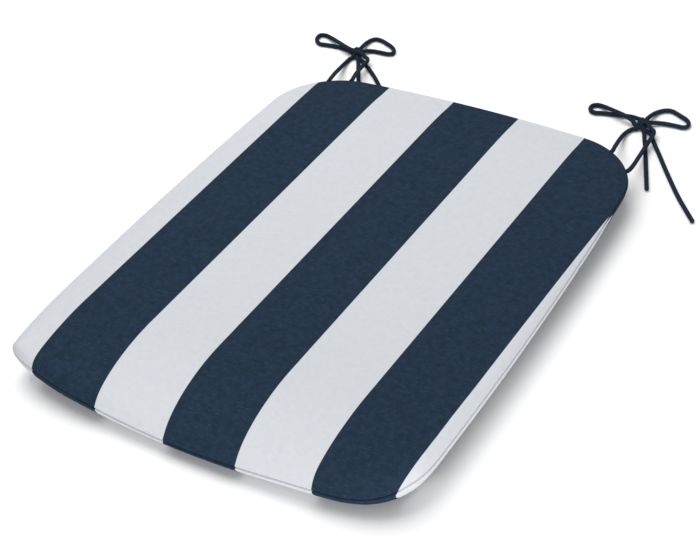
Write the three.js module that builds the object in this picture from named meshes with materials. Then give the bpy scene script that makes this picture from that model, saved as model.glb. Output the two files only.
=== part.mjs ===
// Striped seat pad with a pair of tie cords sewn in at each back corner, each pair tied in a bow.
// Millimetres, +Z up. The front edge faces -Y and the origin lies under the middle of the pad,
// on the surface that it rests on.
import * as THREE from 'three';

// Outline of the pad, seen from above
const HALF_WIDTH = 213;          // at the widest place of the sides
const DEPTH = 529;
const FRONT_CORNER_LEFT = [76, 11];   // corner radii along X and along Y
const FRONT_CORNER_RIGHT = [85, 60];
const RIGHT_FULLNESS = 2.84;      // exponent of that corner's curve, squarer than an ellipse's 2
const BACK_CORNER = [72, 64];
const FRONT_BOW = 16;            // how far the middle of an edge stands out past its ends
const BACK_BOW = 12;
const WIDEST_AT = -100;          // where along Y the sides are widest
const SIDE_BOW_REACH = 235;      // distance from there at which SIDE_BOW of the width is lost
const SIDE_BOW = 0.029;

// Heights of the pad
const FRONT_HEIGHT = 49.6;       // of the slope that the top panel lies in, at the two ends
const BACK_HEIGHT = 31.2;
const CROWN_FALL = 1.2;          // from the middle line to a side
const FRONT_ROLL = 97;           // length over which the top panel rolls down at the front
const FRONT_ROLL_OVERRUN = 3.6;  // how far past the seam the roll would end upright
const FRONT_ROLL_FALL = 48.4;
const FRONT_ROLL_EASES = 0.58;   // share of that fall which is lost towards the sides
const BACK_ROLL = 60;            // the same at the back, where it is only slight
const BACK_ROLL_FALL = 2.5;
const SIDE_SEAM = 29.2;          // height of the seam along the sides and the back
const SEAM_SOFTNESS = 4;         // how gently it bends down from there to the front
const SEAM_DIP = 1.1;            // how much more of the roll's fall it follows at the front right corner
const EDGE_ROUND = 12;           // width of the rounding between the top panel and the seam
const FRONT_TUCK = 20;           // how far in the under panel reaches the surface
const SIDE_TUCK = 34;

// Rings of points, given by how far they lie inside the outline
const TOP_INSETS = [0, 0.7, 2.2, 4.5, 7.5, 11, 16, 23, 32, 43, 55, 70, 86, 115, 155, 195];
const UNDER_INSETS = [1, 3, 6, 10, 15, 20, 27, 34];
const CORNER_STEPS = 8;
const END_STEPS = 8;
const SIDE_STEPS = 12;
const SIDE_CROWDING = 1.35;      // draws a side's points towards the front roll
const LEAST_RADIUS = 4;

// Tie cords
const CORD = 4.5;                // diameter
const CORD_SIDES = 8;
const CORD_STEP = 8;             // aimed distance between two sections
const FLOOR = 2.4;               // height of a cord's centre where it lies on the surface

// Knots of the bows
const KNOT_RADII = [7.5, 7, 5.3];
const KNOT_HEIGHT = 5.2;         // of the knot's middle
const KNOT_TURNS = 3;            // ridges that the wound cord makes
const KNOT_RIDGE = 0.07;

const CLOTH = new THREE.MeshStandardMaterial({ color: 0xd8dbe0, roughness: 0.9, metalness: 0 });
const CORD_CLOTH = new THREE.MeshStandardMaterial({ color: 0x26364a, roughness: 0.85, metalness: 0 });

const clamp01 = (t) => Math.min(Math.max(t, 0), 1);
const mix = (a, b, t) => a + (b - a) * t;

// One ring of the pad as a rounded rectangle, as [x, y, forward], where forward is how squarely
// the edge there faces the front
function plainRing(inset) {
  const halfX = HALF_WIDTH - inset;
  const halfY = DEPTH / 2 - inset;
  const shrunk = (corner) => corner.map((radius) => Math.max(radius - inset, LEAST_RADIUS));
  const left = shrunk(FRONT_CORNER_LEFT);
  const right = shrunk(FRONT_CORNER_RIGHT);
  const back = shrunk(BACK_CORNER);
  const points = [];
  const corner = (sideX, sideY, [radiusX, radiusY], startDegrees, fullness = 2) => {
    for (let i = 0; i <= CORNER_STEPS; i++) {
      const angle = THREE.MathUtils.degToRad(startDegrees + (90 * i) / CORNER_STEPS);
      points.push([
        sideX * (halfX - radiusX + radiusX * Math.abs(Math.cos(angle)) ** (2 / fullness)),
        sideY * (halfY - radiusY + radiusY * Math.abs(Math.sin(angle)) ** (2 / fullness)),
        Math.max(-Math.sin(angle), 0),
      ]);
    }
  };
  const end = (sideY, from, to) => {
    for (let i = 1; i < END_STEPS; i++) {
      points.push([mix(from, to, i / END_STEPS), sideY * halfY, sideY < 0 ? 1 : 0]);
    }
  };
  const side = (sideX, [, frontRadius]) => {
    for (let i = 1; i < SIDE_STEPS; i++) {
      const along = sideX > 0 ? i / SIDE_STEPS : 1 - i / SIDE_STEPS;
      const y = mix(-halfY + frontRadius, halfY - back[1], along ** SIDE_CROWDING);
      points.push([sideX * halfX, y, 0]);
    }
  };
  corner(1, -1, right, -90, RIGHT_FULLNESS);
  side(1, right);
  corner(1, 1, back, 0);
  end(1, halfX - back[0], back[0] - halfX);
  corner(-1, 1, back, 90);
  side(-1, left);
  corner(-1, -1, left, 180);
  end(-1, left[0] - halfX, halfX - right[0]);
  return points;
}

// The same ring with the bow of the four edges
function bowedRing(inset) {
  return plainRing(inset).map(([u, v, forward]) => {
    const across = (u / HALF_WIDTH) ** 2;
    const toBack = 0.5 + v / DEPTH;
    return {
      x: u * (1 - SIDE_BOW * ((v - WIDEST_AT) / SIDE_BOW_REACH) ** 2),
      y: v + FRONT_BOW * across * (1 - toBack) - BACK_BOW * across * toBack,
      forward,
    };
  });
}

// Height of the slope that the top panel lies in, with its crown
function slopeHeight(x, y) {
  return mix(FRONT_HEIGHT, BACK_HEIGHT, 0.5 + y / DEPTH) - CROWN_FALL * (x / HALF_WIDTH) ** 2;
}

// The front roll is a quarter of an ellipse, seen from the side
function frontFall(y) {
  const share = clamp01((FRONT_ROLL - DEPTH / 2 - y) / (FRONT_ROLL + FRONT_ROLL_OVERRUN));
  return FRONT_ROLL_FALL * (1 - Math.sqrt(1 - share ** 2));
}

// Height of the top panel before its edge is drawn down to the seam
function panelHeight(x, y) {
  const eased = 1 - FRONT_ROLL_EASES * (x / HALF_WIDTH) ** 2;
  const backShare = clamp01((y - DEPTH / 2 + BACK_ROLL) / BACK_ROLL);
  return slopeHeight(x, y) - frontFall(y) * eased - BACK_ROLL_FALL * backShare ** 2;
}

// At the front the seam dips with the roll, elsewhere it keeps near its side height
function seamHeight(x, y) {
  const dip = 1 + SEAM_DIP * clamp01(x / HALF_WIDTH) ** 4;
  const front = slopeHeight(x, y) - frontFall(y) * dip;
  return (front + SIDE_SEAM - Math.hypot(front - SIDE_SEAM, SEAM_SOFTNESS)) / 2;
}

function topRing(inset) {
  const round = Math.sqrt(1 - (1 - clamp01(inset / EDGE_ROUND)) ** 2);
  return bowedRing(inset).map(({ x, y }) => {
    const seam = seamHeight(x, y);
    return [x, y, mix(seam, panelHeight(x, y), round)];
  });
}

function underRing(inset, seamRing) {
  return bowedRing(inset).map(({ x, y, forward }, i) => {
    const tuck = mix(SIDE_TUCK, FRONT_TUCK, forward ** 2);
    const reach = 1 - clamp01(inset / tuck);
    return [x, y, seamRing[i][2] * (1 - Math.sqrt(1 - reach ** 2))];
  });
}

// A closed body from rings that run from the middle of its underside, round the seam, to the top
function bodyFromRings(rings, lowCentre, highCentre) {
  const count = rings[0].length;
  const positions = [...rings.flat(), lowCentre, highCentre].flat();
  const low = rings.length * count;
  const high = low + 1;
  const index = [];
  for (let i = 0; i < count; i++) {
    const next = (i + 1) % count;
    index.push(low, next, i);
    for (let r = 0; r + 1 < rings.length; r++) {
      const [a, b] = [r * count + i, r * count + next];
      const [c, d] = [a + count, b + count];
      index.push(a, b, d, a, d, c);
    }
    const last = (rings.length - 1) * count;
    index.push(high, last + i, last + next);
  }
  const geometry = new THREE.BufferGeometry();
  geometry.setAttribute('position', new THREE.Float32BufferAttribute(positions, 3));
  geometry.setIndex(index);
  geometry.computeVertexNormals();
  return geometry;
}

function padGeometry() {
  const top = TOP_INSETS.map(topRing);
  const under = UNDER_INSETS.map((inset) => underRing(inset, top[0]));
  return bodyFromRings([...under.reverse(), ...top], [0, 0, 0], [0, 0, panelHeight(0, 0)]);
}

// A knot is a flattened ball with the ridges of the cord that is wound round it
function knotGeometry([x, y]) {
  const geometry = new THREE.SphereGeometry(1, 16, 10);
  const position = geometry.attributes.position;
  const point = new THREE.Vector3();
  for (let i = 0; i < position.count; i++) {
    point.fromBufferAttribute(position, i);
    const turn = Math.atan2(point.z, point.x);
    const girth = 1 - KNOT_RIDGE * (0.5 - 0.5 * Math.cos(2 * KNOT_TURNS * turn)) * (1 - point.y ** 2);
    position.setXYZ(
      i,
      x + KNOT_RADII[0] * girth * point.x,
      y + KNOT_RADII[1] * point.y,
      KNOT_HEIGHT + KNOT_RADII[2] * girth * point.z,
    );
  }
  geometry.computeVertexNormals();
  return geometry;
}

function cordGeometry(route) {
  const curve = new THREE.CatmullRomCurve3(route.map((point) => new THREE.Vector3(...point)));
  const section = new THREE.Shape();
  for (let i = 0; i < CORD_SIDES; i++) {
    const angle = (2 * Math.PI * i) / CORD_SIDES;
    const [x, y] = [(CORD / 2) * Math.cos(angle), (CORD / 2) * Math.sin(angle)];
    if (i === 0) section.moveTo(x, y);
    else section.lineTo(x, y);
  }
  section.closePath();
  const steps = Math.round(curve.getLength() / CORD_STEP);
  return new THREE.ExtrudeGeometry(section, { steps, extrudePath: curve, bevelEnabled: false });
}

// Each cord leaves the seam (lead), makes one loop of the bow (loop) and ends free (tail)
const F = FLOOR;
const TIES = {
  right: {
    knot: [160, 333],
    a: {
      lead: [
        [163.3, 251.2, 27.8], [162.6, 254.4, 26.8], [161.3, 258.3, 25.2], [158.8, 266.5, 21.4],
        [156, 275.8, 17], [153.1, 285.7, 12.4], [150.5, 296, 8.2], [148.7, 305.7, 4.8],
        [148.3, 313.9, 2.8], [149.7, 319.6, F], [152.2, 323.5, F], [155.2, 325.3, 2.8],
      ],
      loop: [
        [160.4, 344, 5.6], [161, 350.7, 4.4], [162.5, 357.9, 3], [165.5, 362.9, F], [169.6, 366.2, F],
        [174.9, 367.8, F], [181.2, 366.1, F], [188.1, 363, F], [194.5, 360, F], [199.3, 355.9, F],
        [201.4, 349.9, F], [198.6, 346.1, F], [190.7, 345.4, F], [181, 344.8, F], [172.9, 342.9, 2.8],
        [168.7, 340.4, 3.6],
      ],
      tail: [
        [165.9, 320.6, 3], [170, 312.4, F], [176.1, 300.1, F], [183.4, 284.9, F], [191.2, 268.3, F],
        [198.9, 252, F], [206.1, 236.7, F],
      ],
    },
    b: {
      lead: [
        [191.5, 228.4, 28.1], [190.5, 235.8, 25.4], [188.6, 243.7, 21.8], [186.3, 253.1, 17.8],
        [183.9, 263.6, 14], [181.9, 273.8, 11], [179.5, 291.7, 8], [178.7, 305.8, 7.8],
        [177.5, 318.4, 7.8], [175.2, 322.6, 7.6], [172.3, 324.3, 7.4],
      ],
      loop: [
        [151.3, 337.7, 6], [144.5, 341.1, 3.8], [137, 342.2, F], [127.7, 340.2, F],
        [110.9, 337.1, F], [104.3, 335.2, F], [99.4, 335.9, F], [96.1, 340.4, F], [96.4, 345.6, F],
        [100.4, 348.6, F], [107.9, 347.3, 3.4], [116.6, 342.3, 6.2], [124.7, 338.3, 8.1],
        [131.8, 336.3, 8.4], [138.3, 334.4, 8.4], [144.1, 333, 7.4], [148.6, 331.5, 5.8], [150.6, 330.1, 4],
      ],
      tail: [
        [172.3, 322.1, 2.8], [177.3, 315.4, F], [197.4, 289.7, F], [210.8, 272.3, F],
        [238.4, 238.3, F], [252.9, 222.4, F], [266.4, 208.1, F],
      ],
    },
  },
  left: {
    knot: [-187, 335],
    a: {
      lead: [
        [-168.2, 249, 28.1], [-169, 251.8, 27.6], [-171.7, 258.9, 25], [-175.6, 267.7, 21],
        [-179.9, 277.9, 16.4], [-184, 288.5, 11.8], [-187.7, 299.2, 7.6], [-190.5, 309.6, 4.4],
        [-191.8, 318.2, 2.7], [-191.7, 324.3, F], [-190, 327.4, 2.8],
      ],
      loop: [
        [-188.3, 344.4, 5.6], [-189.6, 352.3, 4.2], [-190, 359.8, 3], [-188.6, 366.2, F],
        [-184.3, 370.1, F], [-176.6, 369.7, F], [-167.6, 366.4, F], [-159.7, 362.8, F],
        [-153.8, 357.7, F], [-152.2, 351.4, F], [-157.1, 349, F], [-166.2, 348.4, F],
        [-174.8, 347.6, F], [-180.1, 345.5, 2.8], [-182.3, 343.1, 3.6],
      ],
      tail: [
        [-179.1, 321.6, 3], [-173.4, 312, F], [-167.2, 301.9, F], [-160.9, 291.8, F], [-154, 284, F],
        [-144, 277.6, F], [-132, 274.4, F], [-120, 273.4, F], [-108, 273, F],
      ],
    },
    b: {
      lead: [
        [-145.3, 258.4, 28.1], [-149, 267.8, 25.2], [-152.9, 276.4, 21.6], [-157.1, 285.9, 17.4],
        [-163.6, 303.8, 10.6], [-165.1, 311.1, 8.8], [-165.8, 317.4, 7.9], [-166.5, 321.9, 7.8],
        [-168.8, 325.3, 7.8], [-172.1, 326.9, 7.6],
      ],
      loop: [
        [-196.4, 334, 8.2], [-199.9, 335.2, 8.1], [-206.5, 337.7, 7.9], [-214.8, 341.9, 6.8],
        [-223.8, 347, 5], [-234.1, 352.3, 3.2], [-243.7, 355.4, F], [-249.2, 353.2, F], [-249.4, 346.9, F],
        [-245.7, 340.8, F], [-239.5, 337.7, F], [-232.5, 338.7, F], [-216.9, 340.1, F], [-208.5, 339.3, F],
        [-199.8, 337, 3],
      ],
      tail: [
        [-174, 324.4, 2.8], [-168.1, 320.1, F], [-159.6, 313.8, F], [-149.6, 305.6, F],
        [-140.7, 297.5, F], [-131, 289, F], [-119, 284.2, F], [-104, 282.2, F], [-88, 281.6, F],
        [-52, 280.6, F], [-42, 280.4, F],
      ],
    },
  },
};

const pad = new THREE.Group();

function addPiece(name, geometry, material) {
  const mesh = new THREE.Mesh(geometry, material.clone());
  mesh.name = name;
  pad.add(mesh);
}

addPiece('pad', padGeometry(), CLOTH);
for (const [side, tie] of Object.entries(TIES)) {
  addPiece(`knot_${side}`, knotGeometry(tie.knot), CORD_CLOTH);
  for (const cord of ['a', 'b']) {
    for (const [stretch, route] of Object.entries(tie[cord])) {
      addPiece(`tie_${side}_${cord}_${stretch}`, cordGeometry(route), CORD_CLOTH);
    }
  }
}

export default pad;
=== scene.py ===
import math

import bpy
import numpy as np
from mathutils import Matrix, Vector
from mathutils.kdtree import KDTree


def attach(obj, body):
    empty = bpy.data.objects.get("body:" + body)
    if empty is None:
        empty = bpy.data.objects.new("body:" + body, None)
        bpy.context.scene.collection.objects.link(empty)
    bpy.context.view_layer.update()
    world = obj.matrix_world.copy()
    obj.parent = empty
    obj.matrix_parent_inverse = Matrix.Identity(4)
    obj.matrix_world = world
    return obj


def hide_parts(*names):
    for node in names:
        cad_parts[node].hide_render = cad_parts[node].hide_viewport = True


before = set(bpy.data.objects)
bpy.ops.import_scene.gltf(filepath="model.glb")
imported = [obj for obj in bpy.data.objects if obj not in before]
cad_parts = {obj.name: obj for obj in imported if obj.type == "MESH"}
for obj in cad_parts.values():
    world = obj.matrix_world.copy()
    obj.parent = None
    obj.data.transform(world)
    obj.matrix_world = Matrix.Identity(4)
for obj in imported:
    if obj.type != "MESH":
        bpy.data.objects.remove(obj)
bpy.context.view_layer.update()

# Pad: two panels of woven striped canvas, cut alike, sewn face to face round one seam, turned and
# filled with polyester fibre. The top panel rolls down to the seam at the front, and the under
# panel is drawn in to the surface that the pad rests on.
HALF_WIDTH = 0.213                        # at the widest place of the sides
DEPTH = 0.529
FRONT_CORNER_LEFT = (0.076, 0.011)        # corner radii along X and along Y
FRONT_CORNER_RIGHT = (0.085, 0.060)
RIGHT_FULLNESS = 2.84                     # exponent of that corner's curve, squarer than an ellipse's 2
BACK_CORNER = (0.072, 0.064)
FRONT_BOW = 0.016                         # how far the middle of an edge stands out past its ends
BACK_BOW = 0.012
WIDEST_AT = -0.100
SIDE_BOW_REACH = 0.235
SIDE_BOW = 0.029
FRONT_HEIGHT = 0.0496                     # of the slope that the top panel lies in, at its two ends
BACK_HEIGHT = 0.0312
CROWN_FALL = 0.0012
FRONT_ROLL = 0.097
FRONT_ROLL_OVERRUN = 0.0036               # how far past the seam the roll would end upright
FRONT_ROLL_FALL = 0.0484
FRONT_ROLL_EASES = 0.58                   # share of that fall which is lost towards the sides
BACK_ROLL = 0.060
BACK_ROLL_FALL = 0.0025
SIDE_SEAM = 0.0292
SEAM_SOFTNESS = 0.004
SEAM_DIP = 1.1                            # more of the roll's fall, at the front right corner
EDGE_ROUND = 0.012
FRONT_TUCK = 0.020                        # how far in the under panel reaches the surface
SIDE_TUCK = 0.034
LEAST_RADIUS = 0.004

# The rings of points run round the pad at these distances from the seam, measured on the cloth,
# then at shares of the way to the last ring. Inside that one is a plain grid.
NEAR_SEAM = np.array([0, 0.25, 0.5, 0.75, 1.05, 1.4, 1.8, 2.3, 2.9, 3.7, 4.8, 6.2, 8]) / 1000
TOP_SHARES = (np.arange(1, 13) / 12) ** 1.3
UNDER_SHARES = (np.arange(1, 9) / 8) ** 1.2
LAST_RING = 0.074
CORNER_STEPS = 12
ACROSS_STEPS = 42
ALONG_STEPS = 58
INSET_STEPS = 400                         # at which the cloth is measured from the seam inwards

# The seam draws the cloth in to a narrow groove, with a soft lip on each side of it
GROOVE_DEPTH = 0.0014
GROOVE_WIDTH = 0.0007
GROOVE_SHADE_WIDTH = 0.00091              # of the painted shade that shows the groove as a darker line
LIP_HEIGHT = 0.0005
LIP_FROM_SEAM = 0.0024
LIP_WIDTH = 0.0015


def mix(a, b, t):
    return a + (b - a) * t


def plain_ring(inset):
    """A rounded rectangle, from the middle of its front left corner, and how squarely it faces the front."""
    half = np.array([HALF_WIDTH, DEPTH / 2]) - inset
    left, right, back = (
        np.maximum(np.array(radii) - inset, LEAST_RADIUS)
        for radii in (FRONT_CORNER_LEFT, FRONT_CORNER_RIGHT, BACK_CORNER)
    )
    points, forward = [], []

    def corner(side_x, side_y, radii, start, first, last, fullness=2):
        for i in range(first, last + 1):
            angle = math.radians(start + 90 * i / CORNER_STEPS)
            reach = np.abs((math.cos(angle), math.sin(angle))) ** (2 / fullness)
            points.append((half - radii + radii * reach) * (side_x, side_y))
            forward.append(max(-math.sin(angle), 0))

    def edge(steps, begin, end, faces_front):
        for i in range(1, steps):
            points.append(mix(np.array(begin), np.array(end), i / steps))
            forward.append(faces_front)

    middle = CORNER_STEPS // 2
    corner(-1, -1, left, 180, middle, CORNER_STEPS)
    edge(ACROSS_STEPS, (left[0] - half[0], -half[1]), (half[0] - right[0], -half[1]), 1)
    corner(1, -1, right, -90, 0, CORNER_STEPS, RIGHT_FULLNESS)
    edge(ALONG_STEPS, (half[0], right[1] - half[1]), (half[0], half[1] - back[1]), 0)
    corner(1, 1, back, 0, 0, CORNER_STEPS)
    edge(ACROSS_STEPS, (half[0] - back[0], half[1]), (back[0] - half[0], half[1]), 0)
    corner(-1, 1, back, 90, 0, CORNER_STEPS)
    edge(ALONG_STEPS, (-half[0], half[1] - back[1]), (-half[0], left[1] - half[1]), 0)
    corner(-1, -1, left, 180, 0, middle - 1)
    return np.array(points), np.array(forward)


def bowed(plan):
    """The bow of the four edges, given to points of the plan."""
    across = (plan[..., 0] / HALF_WIDTH) ** 2
    to_back = 0.5 + plan[..., 1] / DEPTH
    x = plan[..., 0] * (1 - SIDE_BOW * ((plan[..., 1] - WIDEST_AT) / SIDE_BOW_REACH) ** 2)
    y = plan[..., 1] + FRONT_BOW * across * (1 - to_back) - BACK_BOW * across * to_back
    return np.stack([x, y], -1)


def slope_height(place):
    across = (place[..., 0] / HALF_WIDTH) ** 2
    return mix(FRONT_HEIGHT, BACK_HEIGHT, 0.5 + place[..., 1] / DEPTH) - CROWN_FALL * across


def front_fall(place):
    """The front roll, a quarter of an ellipse as seen from the side."""
    share = (FRONT_ROLL - DEPTH / 2 - place[..., 1]) / (FRONT_ROLL + FRONT_ROLL_OVERRUN)
    return FRONT_ROLL_FALL * (1 - np.sqrt(1 - np.clip(share, 0, 1) ** 2))


def panel_height(place):
    """Height of the top panel before its edge is drawn down to the seam."""
    eased = 1 - FRONT_ROLL_EASES * (place[..., 0] / HALF_WIDTH) ** 2
    back = np.clip((place[..., 1] - DEPTH / 2 + BACK_ROLL) / BACK_ROLL, 0, 1)
    return slope_height(place) - front_fall(place) * eased - BACK_ROLL_FALL * back ** 2


def seam_height(place):
    dip = 1 + SEAM_DIP * np.clip(place[..., 0] / HALF_WIDTH, 0, 1) ** 4
    front = slope_height(place) - front_fall(place) * dip
    return (front + SIDE_SEAM - np.hypot(front - SIDE_SEAM, SEAM_SOFTNESS)) / 2


def top_height(place, forward, inset):
    rounding = math.sqrt(1 - (1 - min(inset / EDGE_ROUND, 1)) ** 2)
    return mix(seam_height(place), panel_height(place), rounding)


def under_height(place, forward, inset):
    tuck = mix(SIDE_TUCK, FRONT_TUCK, forward ** 2)
    reach = 1 - np.clip(inset / tuck, 0, 1)
    seam = seam_height(bowed(plain_ring(0)[0]))
    return seam * (1 - np.sqrt(1 - reach ** 2))


def panel_rings(height_of, shares):
    """Rings of one panel from the seam inwards, and how far each of their points is from the seam."""
    rows = []
    for inset in LAST_RING * np.linspace(0, 1, INSET_STEPS) ** 3:
        plan, forward = plain_ring(inset)
        place = bowed(plan)
        rows.append(np.column_stack([place, height_of(place, forward, inset)]))
    rows = np.array(rows)
    steps = np.linalg.norm(np.diff(rows, axis=0), axis=2)
    along = np.vstack([np.zeros(rows.shape[1]), np.cumsum(steps, axis=0)])
    rings, distances = [], []
    for i in range(rows.shape[1]):
        left_over = along[-1, i] - NEAR_SEAM[-1]
        wanted = np.concatenate([NEAR_SEAM, NEAR_SEAM[-1] + shares * left_over])
        rings.append(np.stack([np.interp(wanted, along[:, i], rows[:, i, axis]) for axis in range(3)], -1))
        distances.append(wanted)
    return np.stack(rings, 1), np.stack(distances, 1)


def sewn(rings, from_seam):
    """The rings with the seam's groove and lips."""
    round_pad = np.roll(rings, -1, axis=1) - np.roll(rings, 1, axis=1)
    outward = np.cross(round_pad, np.gradient(rings, axis=0))
    outward /= np.linalg.norm(outward, axis=2)[..., None]
    lip = LIP_HEIGHT * np.exp(-((np.abs(from_seam) - LIP_FROM_SEAM) / LIP_WIDTH) ** 2)
    groove = GROOVE_DEPTH * np.exp(-(from_seam / GROOVE_WIDTH) ** 2)
    return rings + outward * (lip - groove)[..., None]


def grid_inside(ring, height_of):
    """A grid of points that fills a ring, with its height given."""
    across_count = ACROSS_STEPS + CORNER_STEPS
    along_count = ALONG_STEPS + CORNER_STEPS
    front = ring[:across_count + 1]
    right = ring[across_count:across_count + along_count + 1]
    back = ring[across_count + along_count:2 * across_count + along_count + 1][::-1]
    left = np.vstack([ring[2 * across_count + along_count:], ring[:1]])[::-1]
    u = np.linspace(0, 1, across_count + 1)[None, :, None]
    v = np.linspace(0, 1, along_count + 1)[:, None, None]
    grid = (
        mix(front[None], back[None], v) + mix(left[:, None], right[:, None], u)
        - mix(mix(front[0], front[-1], u), mix(back[0], back[-1], u), v)
    )
    grid[..., 2] = height_of(grid)
    return grid[1:-1, 1:-1].reshape(-1, 3)


def pad_faces(ring_total):
    """Faces between the rings, then of the under grid and of the top grid."""
    across_count = ACROSS_STEPS + CORNER_STEPS
    along_count = ALONG_STEPS + CORNER_STEPS
    count = 2 * (across_count + along_count)
    inner = (across_count - 1) * (along_count - 1)
    faces = []
    for r in range(ring_total - 1):
        for i in range(count):
            a, b = r * count + i, r * count + (i + 1) % count
            faces.append((a, b, b + count, a + count))

    def grid_point(first, edge_ring, row, column):
        if row == 0:
            place = column
        elif column == across_count:
            place = across_count + row
        elif row == along_count:
            place = 2 * across_count + along_count - column
        elif column == 0:
            place = 2 * across_count + 2 * along_count - row
        else:
            return first + (row - 1) * (across_count - 1) + column - 1
        return edge_ring * count + place % count

    for first, edge_ring, upward in (
        (ring_total * count, 0, False), (ring_total * count + inner, ring_total - 1, True),
    ):
        for row in range(along_count):
            for column in range(across_count):
                quad = [
                    grid_point(first, edge_ring, row + up, column + over)
                    for up, over in ((0, 0), (0, 1), (1, 1), (1, 0))
                ]
                faces.append(quad if upward else quad[::-1])
    return faces


def mesh_object(name, vertices, faces):
    mesh = bpy.data.meshes.new(name)
    mesh.from_pydata(vertices.tolist(), [], faces)
    mesh.polygons.foreach_set("use_smooth", [True] * len(mesh.polygons))
    piece = bpy.data.objects.new(name, mesh)
    bpy.context.scene.collection.objects.link(piece)
    return piece


def store(piece, attribute, values):
    """Keeps one number for each point of the mesh, for its material to read."""
    values = np.asarray(values, np.float32)
    piece.data.attributes.new(attribute, "FLOAT", "POINT").data.foreach_set("value", values)


def coordinates(mesh):
    flat = np.empty(len(mesh.vertices) * 3, np.float32)
    mesh.vertices.foreach_get("co", flat)
    return flat.reshape(-1, 3).astype(float)


top_rings, top_distances = panel_rings(top_height, TOP_SHARES)
under_rings, under_distances = panel_rings(under_height, UNDER_SHARES)
rings = np.concatenate([under_rings[:0:-1], top_rings])
from_seam = np.concatenate([-under_distances[:0:-1], top_distances])
grids = [
    grid_inside(rings[0], lambda grid: np.zeros(grid.shape[:2])),
    grid_inside(rings[-1], lambda grid: panel_height(grid[..., :2])),
]
faces = pad_faces(len(rings))
smooth_points = np.vstack([rings.reshape(-1, 3), *grids])
pad_points = np.vstack([sewn(rings, from_seam).reshape(-1, 3), *grids])
distance = np.concatenate([from_seam.ravel(), np.full(len(grids[0]), -1.0), np.full(len(grids[1]), 1.0)])

# The filling: a short cloth simulation of the pad, started a little too thin. The seam, the
# resting face and the front, where the filling is packed tight into the roll, are held, and the
# pressure of the fibre swells the rest of the top panel out between them.
SWELLING = 0.002                          # how thin it starts, and the most that a point may move
REMESH = 0.005
PRESSURE = 4
LAST_FRAME = 20
NEIGHBOURS = 12                           # points of the simulated cloth that move a point of the pad
HELD_NEAR_SEAM = 0.006
FREE_FROM_SEAM = 0.030
HELD_ROLL = -0.165                        # where along Y the roll is held, and where it is free
FREE_OF_ROLL = -0.115


def swelling():
    """How far the top panel at each point of the pad stands from its full shape."""
    share = np.clip((distance - HELD_NEAR_SEAM) / (FREE_FROM_SEAM - HELD_NEAR_SEAM), 0, 1)
    share *= np.clip((pad_points[:, 1] - HELD_ROLL) / (FREE_OF_ROLL - HELD_ROLL), 0, 1)
    share = share * share * (3 - 2 * share)
    thin = smooth_points - np.outer(share * SWELLING, (0, 0, 1))
    body = mesh_object("filled_body", thin, faces)
    remesh = body.modifiers.new("remesh", "REMESH")
    remesh.mode = "VOXEL"
    remesh.voxel_size = REMESH
    evaluated = body.evaluated_get(bpy.context.evaluated_depsgraph_get())
    body.data = bpy.data.meshes.new_from_object(evaluated)
    body.modifiers.clear()
    start = coordinates(body.data)
    seam = KDTree(top_rings.shape[1])
    for i, point in enumerate(top_rings[0]):
        seam.insert(point, i)
    seam.balance()
    held = body.vertex_groups.new(name="held")
    for i, point in enumerate(start):
        if seam.find(point)[2] < HELD_NEAR_SEAM or point[2] < REMESH or point[1] < HELD_ROLL:
            held.add([i], 1, "REPLACE")
    cloth = body.modifiers.new("cloth", "CLOTH")
    cloth.settings.use_pressure = True
    cloth.settings.uniform_pressure_force = PRESSURE
    cloth.settings.effector_weights.gravity = 0
    cloth.settings.vertex_group_mass = "held"
    cloth.point_cache.frame_end = LAST_FRAME
    for frame_number in range(1, LAST_FRAME + 1):
        bpy.context.scene.frame_set(frame_number)
    evaluated = body.evaluated_get(bpy.context.evaluated_depsgraph_get())
    moved = coordinates(evaluated.data) - start
    bpy.data.objects.remove(body)
    bpy.context.scene.frame_set(1)
    length = np.linalg.norm(moved, axis=1)[:, None]
    moved *= np.minimum(1, SWELLING / np.maximum(length, 1e-9))
    near = KDTree(len(start))
    for i, point in enumerate(start):
        near.insert(point, i)
    near.balance()
    result = np.zeros_like(thin)
    for i in np.flatnonzero(share > 0):
        found = near.find_n(thin[i], NEIGHBOURS)
        weights = np.array([1 / (gap + REMESH / 2) ** 2 for _, _, gap in found])
        result[i] = weights @ moved[[index for _, index, _ in found]] / weights.sum()
    return (result - np.outer(np.full(len(thin), SWELLING), (0, 0, 1))) * share[:, None]


pad_points = pad_points + swelling()
pad = mesh_object("striped_pad", pad_points, faces)
# The painted shade in the seam's groove: how much the material darkens the cloth there, most on the seam
# line.
store(pad, "groove", np.exp(-(distance / GROOVE_SHADE_WIDTH) ** 2))

# The stripes run straight along the pad, but at its front corners the cloth is drawn over to the
# left as it is rolled down and sewn, more on the right than on the left.
DRAWN_FROM = -0.180                       # where along Y that begins
DRAWN_WHOLE = -0.200                      # and where it is whole
DRAWN_TOP = 0.0445                        # the height that it begins at
DRAWN_DEPTH = 0.026                       # how far below that it still grows
DRAWN_SHARE = 0.45                        # how far over the cloth goes, as a share of how far down
DRAWN_AT = 0.200                          # how far out from the middle line that share is reached
DRAWN_ON_LEFT = 0.5
forward = np.clip((pad_points[:, 1] - DRAWN_FROM) / (DRAWN_WHOLE - DRAWN_FROM), 0, 1)
outward = (pad_points[:, 0] / DRAWN_AT) ** 4 * np.where(pad_points[:, 0] > 0, 1, DRAWN_ON_LEFT)
down = np.clip(DRAWN_TOP - pad_points[:, 2], 0, DRAWN_DEPTH)
store(pad, "drawn_over", DRAWN_SHARE * down * forward * outward)
subdivision = pad.modifiers.new("subdivision", "SUBSURF")
subdivision.levels = subdivision.render_levels = 1


def linear(hex_colour):
    """An sRGB colour such as "3a5f7d" as linear RGBA."""
    parts = [int(hex_colour[i:i + 2], 16) / 255 for i in (0, 2, 4)]
    return [c / 12.92 if c <= 0.04045 else ((c + 0.055) / 1.055) ** 2.4 for c in parts] + [1]


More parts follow.
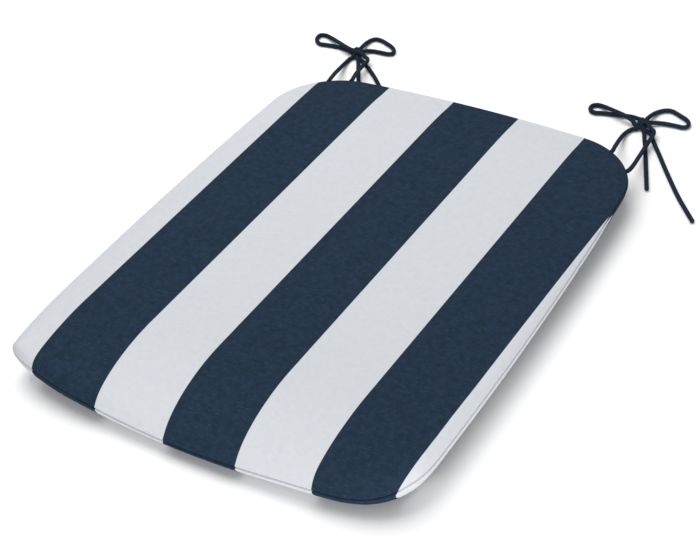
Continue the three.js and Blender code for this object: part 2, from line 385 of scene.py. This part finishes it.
def add_node(tree, kind, settings=None, inputs=None):
    """Adds a node. An input is given a value, or another node's output to be linked to."""
    node = tree.nodes.new(kind)
    for key, value in (settings or {}).items():
        setattr(node, key, value)
    for key, value in (inputs or {}).items():
        if isinstance(value, bpy.types.NodeSocket):
            tree.links.new(value, node.inputs[key])
        else:
            node.inputs[key].default_value = value
    return node


def empty_material(name):
    material = bpy.data.materials.new(name)
    material.use_nodes = True
    material.node_tree.nodes.clear()
    return material, material.node_tree


# Woven canvas: dyed cotton yarn in a plain weave, with broad white and navy stripes along the pad.
# It is matt, and uneven yarn gives it a faint mottle with short lighter flecks along the weft.
STRIPE = 0.0762                           # the common 3 inch awning stripe
NAVY_CENTRE = -0.1374                     # along X, of the left navy stripe
STRIPE_EDGE = 0.0002                      # softness of a stripe's edge
WEAVE = 0.0014                            # pitch drawn, twice the real one, which is too fine to show
FLECK = (190, 800, 550)                   # flecks in a metre along X, Y and Z
MOTTLE = 160


def striped_canvas():
    material, tree = empty_material("woven_striped_canvas")
    place = add_node(tree, "ShaderNodeTexCoord").outputs["Object"]
    x, y, _ = add_node(tree, "ShaderNodeSeparateXYZ", {}, {"Vector": place}).outputs
    drawn = add_node(tree, "ShaderNodeAttribute", {"attribute_name": "drawn_over"}).outputs["Fac"]
    on_cloth = add_node(tree, "ShaderNodeMath", {"operation": "ADD"}, {0: x, 1: drawn}).outputs[0]
    centred = add_node(tree, "ShaderNodeMath", {"operation": "SUBTRACT"}, {
        0: on_cloth, 1: NAVY_CENTRE,
    }).outputs[0]
    away = add_node(tree, "ShaderNodeMath", {"operation": "PINGPONG"}, {0: centred, 1: STRIPE}).outputs[0]
    is_white = add_node(tree, "ShaderNodeMapRange", {}, {
        "Value": away, "From Min": STRIPE / 2 - STRIPE_EDGE, "From Max": STRIPE / 2 + STRIPE_EDGE,
    }).outputs["Result"]
    stretched = add_node(tree, "ShaderNodeMapping", {}, {"Vector": place, "Scale": FLECK}).outputs["Vector"]
    yarn = add_node(tree, "ShaderNodeTexNoise", {}, {
        "Vector": stretched, "Scale": 1, "Detail": 2,
    }).outputs["Fac"]
    fleck = add_node(tree, "ShaderNodeMapRange", {}, {
        "Value": yarn, "From Min": 0.56, "From Max": 0.74,
    }).outputs["Result"]
    cloud = add_node(tree, "ShaderNodeTexNoise", {}, {
        "Vector": place, "Scale": MOTTLE, "Detail": 4,
    }).outputs["Fac"]
    mottle = add_node(tree, "ShaderNodeMapRange", {}, {
        "Value": cloud, "From Min": 0.35, "From Max": 0.65,
    }).outputs["Result"]
    navy = add_node(tree, "ShaderNodeMix", {"data_type": "RGBA"}, {
        "Factor": mottle, "A": linear("1d2b39"), "B": linear("233244"),
    }).outputs["Result"]
    navy = add_node(tree, "ShaderNodeMix", {"data_type": "RGBA"}, {
        "Factor": fleck, "A": navy, "B": linear("293b4e"),
    }).outputs["Result"]
    white = add_node(tree, "ShaderNodeMix", {"data_type": "RGBA"}, {
        "Factor": mottle, "A": linear("c4c7cc"), "B": linear("c7cace"),
    }).outputs["Result"]
    white = add_node(tree, "ShaderNodeMix", {"data_type": "RGBA"}, {
        "Factor": fleck, "A": white, "B": linear("bfc2c8"),
    }).outputs["Result"]
    striped = add_node(tree, "ShaderNodeMix", {"data_type": "RGBA"}, {
        "Factor": is_white, "A": navy, "B": white,
    }).outputs["Result"]
    # Painted shade: the cloth is darkened by up to a fifth along the seam's groove, where shade falls in it.
    groove = add_node(tree, "ShaderNodeAttribute", {"attribute_name": "groove"}).outputs["Fac"]
    shade = add_node(tree, "ShaderNodeMapRange", {}, {
        "Value": groove, "To Min": 1, "To Max": 0.8,
    }).outputs["Result"]
    colour = add_node(tree, "ShaderNodeMix", {"data_type": "RGBA", "blend_type": "MULTIPLY"}, {
        "Factor": 1, "A": striped, "B": shade,
    }).outputs["Result"]
    turn = 2 * math.pi / WEAVE
    warp, weft = (
        add_node(tree, "ShaderNodeMath", {"operation": "SINE"}, {
            0: add_node(tree, "ShaderNodeMath", {"operation": "MULTIPLY"}, {0: axis, 1: turn}).outputs[0],
        }).outputs[0]
        for axis in (x, y)
    )
    weave = add_node(tree, "ShaderNodeMath", {"operation": "MULTIPLY_ADD"}, {
        0: warp, 1: weft, 2: yarn,
    }).outputs[0]
    relief = add_node(tree, "ShaderNodeBump", {}, {"Strength": 0.25, "Distance": 0.0001, "Height": weave})
    shader = add_node(tree, "ShaderNodeBsdfPrincipled", {}, {
        "Base Color": colour, "Roughness": 0.95, "Specular IOR Level": 0.08,
        "Normal": relief.outputs["Normal"],
    })
    add_node(tree, "ShaderNodeOutputMaterial", {}, {"Surface": shader.outputs["BSDF"]})
    return material


pad.data.materials.append(striped_canvas())
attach(pad, "root")
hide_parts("pad")

# Tie cords: four lengths of round braided polyester cord, 4.5 mm thick, two at each back corner.
# Each is sewn into the seam by one end, drops to the surface behind the pad, makes one loop of
# the bow, passes through the knot twice and ends free, its tip sealed with heat.
CORD_THICKNESS = 0.0045
LIES_AT = 0.0024                          # height of the centre of a cord that lies on the surface
BRAID_STRANDS = 8                         # that wind each way round the cord
BRAID_LAY = 0.020                         # length of one turn of a strand
BRAID_RELIEF = 0.00014
CORD_SIDES = 32
CORD_STEP = 0.00045
CURVE_STEPS = 40                          # between two points of a route
SEALED_TIP = 0.0028
TIP_ROUNDING = 0.0007
TIP_SWELLING = 1.06                       # how much thicker the melted tip is
TIP_FLAT = 0.4                            # share of the tip's squared radius at its flat end

L = LIES_AT
CORD_ROUTES = {
    "right_a": [
        (0.1632, 0.2466, 0.0284), (0.1633, 0.2512, 0.0278), (0.1626, 0.2544, 0.0268),
        (0.1613, 0.2583, 0.0252), (0.1588, 0.2665, 0.0214), (0.1560, 0.2758, 0.0170),
        (0.1531, 0.2857, 0.0124), (0.1505, 0.2960, 0.0082), (0.1487, 0.3057, 0.0048),
        (0.1483, 0.3139, 0.0028), (0.1497, 0.3196, L), (0.1522, 0.3235, L),
        (0.1552, 0.3253, 0.0028), (0.1585, 0.3330, 0.0054), (0.1604, 0.3440, 0.0056),
        (0.1610, 0.3507, 0.0044), (0.1625, 0.3579, 0.0030), (0.1655, 0.3629, L),
        (0.1696, 0.3662, L), (0.1749, 0.3678, L), (0.1812, 0.3661, L),
        (0.1881, 0.3630, L), (0.1945, 0.3600, L), (0.1993, 0.3559, L),
        (0.2014, 0.3499, L), (0.1986, 0.3461, L), (0.1907, 0.3454, L),
        (0.1810, 0.3448, L), (0.1729, 0.3429, 0.0028), (0.1687, 0.3404, 0.0036),
        (0.1630, 0.3356, 0.0048), (0.1615, 0.3290, 0.0040), (0.1659, 0.3206, 0.0030),
        (0.1700, 0.3124, L), (0.1761, 0.3001, L), (0.1834, 0.2849, L),
        (0.1912, 0.2683, L), (0.1989, 0.2520, L), (0.2061, 0.2367, L),
    ],
    "right_b": [
        (0.1906, 0.2244, 0.0286), (0.1915, 0.2284, 0.0281), (0.1905, 0.2358, 0.0254),
        (0.1886, 0.2437, 0.0218), (0.1863, 0.2531, 0.0178), (0.1839, 0.2636, 0.0140),
        (0.1819, 0.2738, 0.0110), (0.1795, 0.2917, 0.0080), (0.1787, 0.3058, 0.0078),
        (0.1775, 0.3184, 0.0078), (0.1752, 0.3226, 0.0076), (0.1723, 0.3243, 0.0074),
        (0.1670, 0.3295, 0.0080), (0.1600, 0.3350, 0.0076), (0.1513, 0.3377, 0.0060),
        (0.1445, 0.3411, 0.0038), (0.1370, 0.3422, L), (0.1277, 0.3402, L),
        (0.1109, 0.3371, L), (0.1043, 0.3352, L), (0.0994, 0.3359, L),
        (0.0961, 0.3404, L), (0.0964, 0.3456, L), (0.1004, 0.3486, L),
        (0.1079, 0.3473, 0.0034), (0.1166, 0.3423, 0.0062), (0.1247, 0.3383, 0.0081),
        (0.1318, 0.3363, 0.0084), (0.1383, 0.3344, 0.0084), (0.1441, 0.3330, 0.0074),
        (0.1486, 0.3315, 0.0058), (0.1506, 0.3301, 0.0040), (0.1590, 0.3280, 0.0032),
        (0.1723, 0.3221, 0.0028), (0.1773, 0.3154, L), (0.1974, 0.2897, L),
        (0.2108, 0.2723, L), (0.2384, 0.2383, L), (0.2529, 0.2224, L),
        (0.2664, 0.2081, L),
    ],
    "left_a": [
        (-0.1672, 0.2444, 0.0288), (-0.1682, 0.2490, 0.0281), (-0.1690, 0.2518, 0.0276),
        (-0.1717, 0.2589, 0.0250), (-0.1756, 0.2677, 0.0210), (-0.1799, 0.2779, 0.0164),
        (-0.1840, 0.2885, 0.0118), (-0.1877, 0.2992, 0.0076), (-0.1905, 0.3096, 0.0044),
        (-0.1918, 0.3182, 0.0027), (-0.1917, 0.3243, L), (-0.1900, 0.3274, 0.0028),
        (-0.1890, 0.3350, 0.0052), (-0.1883, 0.3444, 0.0056), (-0.1896, 0.3523, 0.0042),
        (-0.1900, 0.3598, 0.0030), (-0.1886, 0.3662, L), (-0.1843, 0.3701, L),
        (-0.1766, 0.3697, L), (-0.1676, 0.3664, L), (-0.1597, 0.3628, L),
        (-0.1538, 0.3577, L), (-0.1522, 0.3514, L), (-0.1571, 0.3490, L),
        (-0.1662, 0.3484, L), (-0.1748, 0.3476, L), (-0.1801, 0.3455, 0.0028),
        (-0.1823, 0.3431, 0.0036), (-0.1835, 0.3380, 0.0048), (-0.1855, 0.3310, 0.0040),
        (-0.1791, 0.3216, 0.0030), (-0.1734, 0.3120, L), (-0.1672, 0.3019, L),
        (-0.1609, 0.2918, L), (-0.1540, 0.2840, L), (-0.1440, 0.2776, L),
        (-0.1320, 0.2744, L), (-0.1200, 0.2734, L), (-0.1080, 0.2730, L),
    ],
    "left_b": [
        (-0.1445, 0.2538, 0.0288), (-0.1453, 0.2584, 0.0281), (-0.1490, 0.2678, 0.0252),
        (-0.1529, 0.2764, 0.0216), (-0.1571, 0.2859, 0.0174), (-0.1636, 0.3038, 0.0106),
        (-0.1651, 0.3111, 0.0088), (-0.1658, 0.3174, 0.0079), (-0.1665, 0.3219, 0.0078),
        (-0.1688, 0.3253, 0.0078), (-0.1721, 0.3269, 0.0076), (-0.1790, 0.3305, 0.0084),
        (-0.1875, 0.3325, 0.0086), (-0.1964, 0.3340, 0.0082), (-0.1999, 0.3352, 0.0081),
        (-0.2065, 0.3377, 0.0079), (-0.2148, 0.3419, 0.0068), (-0.2238, 0.3470, 0.0050),
        (-0.2341, 0.3523, 0.0032), (-0.2437, 0.3554, L), (-0.2492, 0.3532, L),
        (-0.2494, 0.3469, L), (-0.2457, 0.3408, L), (-0.2395, 0.3377, L),
        (-0.2325, 0.3387, L), (-0.2169, 0.3401, L), (-0.2085, 0.3393, L),
        (-0.1998, 0.3370, 0.0030), (-0.1880, 0.3306, 0.0032), (-0.1740, 0.3244, 0.0028),
        (-0.1681, 0.3201, L), (-0.1596, 0.3138, L), (-0.1496, 0.3056, L),
        (-0.1407, 0.2975, L), (-0.1310, 0.2890, L), (-0.1190, 0.2842, L),
        (-0.1040, 0.2822, L), (-0.0880, 0.2816, L), (-0.0520, 0.2806, L),
        (-0.0420, 0.2804, L),
    ],
}


def smooth_line(points, step):
    """Points at equal steps on a smooth curve through the given ones, a centripetal Catmull-Rom curve."""
    given = np.array(points, float)
    given = np.vstack([2 * given[0] - given[1], given, 2 * given[-1] - given[-2]])
    knots = np.concatenate([[0], np.cumsum(np.linalg.norm(np.diff(given, axis=0), axis=1) ** 0.5)])
    line = []
    for i in range(1, len(given) - 2):
        t0, t1, t2, t3 = knots[i - 1:i + 3]
        p0, p1, p2, p3 = given[i - 1:i + 3]
        t = np.linspace(t1, t2, CURVE_STEPS, endpoint=i == len(given) - 3)[:, None]
        a1 = (t1 - t) / (t1 - t0) * p0 + (t - t0) / (t1 - t0) * p1
        a2 = (t2 - t) / (t2 - t1) * p1 + (t - t1) / (t2 - t1) * p2
        a3 = (t3 - t) / (t3 - t2) * p2 + (t - t2) / (t3 - t2) * p3
        b1 = (t2 - t) / (t2 - t0) * a1 + (t - t0) / (t2 - t0) * a2
        b2 = (t3 - t) / (t3 - t1) * a2 + (t - t1) / (t3 - t1) * a3
        line.append((t2 - t) / (t2 - t1) * b1 + (t - t1) / (t2 - t1) * b2)
    line = np.vstack(line)
    along = np.concatenate([[0], np.cumsum(np.linalg.norm(np.diff(line, axis=0), axis=1))])
    even = np.linspace(0, along[-1], max(int(round(along[-1] / step)), 8) + 1)
    return np.column_stack([np.interp(even, along, line[:, i]) for i in range(3)]), even


def turned_frames(line):
    """Two directions across the line at each of its points, carried along without twist."""
    ahead = np.gradient(line, axis=0)
    ahead /= np.linalg.norm(ahead, axis=1)[:, None]
    across = np.zeros_like(line)
    start = np.cross(ahead[0], (0, 0, 1))
    across[0] = start / np.linalg.norm(start)
    for i in range(1, len(line)):
        kept = across[i - 1] - ahead[i] * np.dot(across[i - 1], ahead[i])
        across[i] = kept / np.linalg.norm(kept)
    return across, np.cross(ahead, across)


def braided_cord(name, points, tips):
    """A round braided cord along the points, with its relief. tips says which of its ends show."""
    line, along = smooth_line(points, CORD_STEP)
    across, upward = turned_frames(line)
    turn = np.linspace(0, 2 * math.pi, CORD_SIDES, endpoint=False)
    twist = 2 * math.pi * along[:, None] / BRAID_LAY
    strands = np.maximum(np.cos(BRAID_STRANDS * (turn - twist)), np.cos(BRAID_STRANDS * (turn + twist)))
    raised = (strands + 1) / 2
    radius = CORD_THICKNESS / 2 - BRAID_RELIEF * (1 - raised)
    sealed = np.zeros(len(line))
    for end, shows in zip((along, along[-1] - along), tips):
        if shows:
            melted = np.clip(1 - end / SEALED_TIP, 0, 1)
            sealed = np.maximum(sealed, melted ** 0.5)
            rounding = np.sqrt(np.clip(1 - np.clip(1 - end / TIP_ROUNDING, 0, 1) ** 2, TIP_FLAT, 1))
            swollen = CORD_THICKNESS / 2 * TIP_SWELLING * melted[:, None] + radius * (1 - melted[:, None])
            radius = swollen * rounding[:, None]
    ring = (
        line[:, None]
        + across[:, None] * (radius * np.cos(turn))[..., None]
        + upward[:, None] * (radius * np.sin(turn))[..., None]
    )
    count = len(line)
    vertices = np.vstack([ring.reshape(-1, 3), line[0], line[-1]])
    faces = []
    for i in range(count - 1):
        for j in range(CORD_SIDES):
            a, b = i * CORD_SIDES + j, i * CORD_SIDES + (j + 1) % CORD_SIDES
            faces.append((a, b, b + CORD_SIDES, a + CORD_SIDES))
    first, last = count * CORD_SIDES, count * CORD_SIDES + 1
    for j in range(CORD_SIDES):
        k = (j + 1) % CORD_SIDES
        faces.append((first, k, j))
        faces.append((last, (count - 1) * CORD_SIDES + j, (count - 1) * CORD_SIDES + k))
    piece = mesh_object(name, vertices, faces)
    # How far each point stands up on a strand; the material also paints shade into the grooves from it.
    store(piece, "raised", np.concatenate([raised.ravel(), [0, 0]]))
    store(piece, "sealed", np.concatenate([np.repeat(sealed, CORD_SIDES), [sealed[0], sealed[-1]]]))
    return piece, line, float(along[-1])


# Braided polyester: spun yarn, dyed navy. It is matt, with painted shade darkening the grooves
# between its strands, and the melted tip is a little smoother and darker.
YARN_FIBRES = 900                         # specks of lighter fibre in a metre


def braided_polyester():
    material, tree = empty_material("braided_polyester")
    raised = add_node(tree, "ShaderNodeAttribute", {"attribute_name": "raised"}).outputs["Fac"]
    sealed = add_node(tree, "ShaderNodeAttribute", {"attribute_name": "sealed"}).outputs["Fac"]
    place = add_node(tree, "ShaderNodeTexCoord").outputs["Object"]
    yarn = add_node(tree, "ShaderNodeTexNoise", {}, {
        "Vector": place, "Scale": YARN_FIBRES, "Detail": 2,
    }).outputs["Fac"]
    # Lighter specks of fibre, and painted shade: the raised strands lighter, the grooves between them
    # darker.
    specks_and_painted_shade = add_node(tree, "ShaderNodeMath", {"operation": "MULTIPLY_ADD", "use_clamp": True}, {
        0: yarn, 1: 0.5, 2: raised,
    }).outputs[0]
    dyed = add_node(tree, "ShaderNodeMix", {"data_type": "RGBA"}, {
        "Factor": specks_and_painted_shade, "A": linear("0a111b"), "B": linear("1a2737"),
    }).outputs["Result"]
    colour = add_node(tree, "ShaderNodeMix", {"data_type": "RGBA"}, {
        "Factor": sealed, "A": dyed, "B": linear("121c29"),
    }).outputs["Result"]
    roughness = add_node(tree, "ShaderNodeMapRange", {}, {
        "Value": sealed, "To Min": 0.9, "To Max": 0.6,
    }).outputs["Result"]
    fibres = add_node(tree, "ShaderNodeBump", {}, {"Strength": 0.4, "Distance": 0.0001, "Height": yarn})
    shader = add_node(tree, "ShaderNodeBsdfPrincipled", {}, {
        "Base Color": colour, "Roughness": roughness, "Normal": fibres.outputs["Normal"],
        "Specular IOR Level": 0.15,
    })
    add_node(tree, "ShaderNodeOutputMaterial", {}, {"Surface": shader.outputs["BSDF"]})
    return material


cord_material = braided_polyester()
cords = {}
for name, route in CORD_ROUTES.items():
    cord, cord_line, cord_length = braided_cord(f"tie_cord_{name}", route, tips=(False, True))
    cord.data.materials.append(cord_material)
    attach(cord, "root")
    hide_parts(*(f"tie_{name}_{stretch}" for stretch in ("lead", "loop", "tail")))
    cords[name] = (cord, cord_line, cord_length)

# Bow knots: the turns that the two cords of a corner make round each other, pulled tight. They show
# as two wraps of the same cord, side by side and slightly flattened on the surface.
KNOT_HEIGHT = 0.0052
WRAP_RADII = (0.0042, 0.0029)             # of the wrap's centre line, level and upright
WRAP_TURNS = 2.2
WRAP_PITCH = 0.0035
WRAP_POINTS = 30
KNOTS = {"right": (0.160, 0.333), "left": (-0.187, 0.335)}
KNOT_LEAN = math.radians(20)              # the wraps lie across the line of the loops

for side, (knot_x, knot_y) in KNOTS.items():
    wraps = []
    for t in np.linspace(-WRAP_TURNS / 2, WRAP_TURNS / 2, WRAP_POINTS):
        angle = 2 * math.pi * t + math.pi / 2
        over = Vector((WRAP_PITCH * t, WRAP_RADII[0] * math.cos(angle), WRAP_RADII[1] * math.sin(angle)))
        over.rotate(Matrix.Rotation(-KNOT_LEAN, 3, "Z"))
        wraps.append(Vector((knot_x, knot_y, KNOT_HEIGHT)) + over)
    knot, _, _ = braided_cord(f"bow_knot_{side}", wraps, tips=(False, False))
    knot.data.materials.append(cord_material)
    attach(knot, "root")
    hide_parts(f"knot_{side}")
    for letter in ("a", "b"):
        cord, cord_line, cord_length = cords[f"{side}_{letter}"]

# The surface that the pad lies on: plain white card.
FLOOR_SIZE = 4
FLOOR_HEIGHT = -0.0002                    # just under the pad, so that the two faces don't flicker
floor_corners = np.array([
    (side_x * FLOOR_SIZE, side_y * FLOOR_SIZE, FLOOR_HEIGHT)
    for side_x, side_y in ((-1, -1), (1, -1), (1, 1), (-1, 1))
])
floor = mesh_object("floor", floor_corners, [(0, 1, 2, 3)])
card, tree = empty_material("white_card")
card_shader = add_node(tree, "ShaderNodeBsdfDiffuse", {}, {"Color": linear("fafafa")})
add_node(tree, "ShaderNodeOutputMaterial", {}, {"Surface": card_shader.outputs["BSDF"]})
floor.data.materials.append(card)

# Soft studio light: even light from all round, a large panel above on the left and towards the
# back, which gives the shadow at the right and the front, and a weak low one that opens up the sides.
EVEN_LIGHT = 0.38
for name, place, size, energy in (
    ("upper_left_light", (-0.6, 0.5, 2.0), 1.9, 44),
    ("low_front_light", (1.35, -1.55, 0.36), 0.7, 28),
):
    light = bpy.data.objects.new(name, bpy.data.lights.new(name, "AREA"))
    bpy.context.scene.collection.objects.link(light)
    light.location = place
    light.rotation_euler = (-Vector(place)).to_track_quat("-Z", "Y").to_euler()
    light.data.size = size
    light.data.energy = energy
world = bpy.data.worlds.new("studio")
bpy.context.scene.world = world
world.use_nodes = True
world.node_tree.nodes["Background"].inputs["Color"].default_value = (1, 1, 1, 1)
world.node_tree.nodes["Background"].inputs["Strength"].default_value = EVEN_LIGHT
bpy.context.scene.view_settings.view_transform = "Standard"

# The view: from in front of the pad's right corner, looking down on it at about 39 degrees, with the
# head tilted a little. The lens is long, so the far end of the pad looks only slightly smaller.
CAMERA_PLACE = Vector((0.7746, -1.0360, 1.0897))
CAMERA_TARGET = Vector((0, -0.0013, 0.0254))
CAMERA_ROLL = math.radians(-8.27)
PICTURE = Vector((700, 560))              # pixels
LENS_AXIS = Vector((341.5, 259.3))        # where the camera's axis meets the picture
FOCAL_LENGTH = 1765.8                     # in pixels
SENSOR = 36

camera = bpy.data.objects.new("camera", bpy.data.cameras.new("camera"))
bpy.context.scene.collection.objects.link(camera)
bpy.context.scene.camera = camera
look = (CAMERA_TARGET - CAMERA_PLACE).to_track_quat("-Z", "Y").to_matrix().to_4x4()
camera.matrix_world = Matrix.Translation(CAMERA_PLACE) @ look @ Matrix.Rotation(CAMERA_ROLL, 4, "Z")
camera.data.sensor_width = SENSOR
camera.data.lens = FOCAL_LENGTH / PICTURE.x * SENSOR
camera.data.shift_x = (PICTURE.x / 2 - LENS_AXIS.x) / PICTURE.x
camera.data.shift_y = (LENS_AXIS.y - PICTURE.y / 2) / PICTURE.x
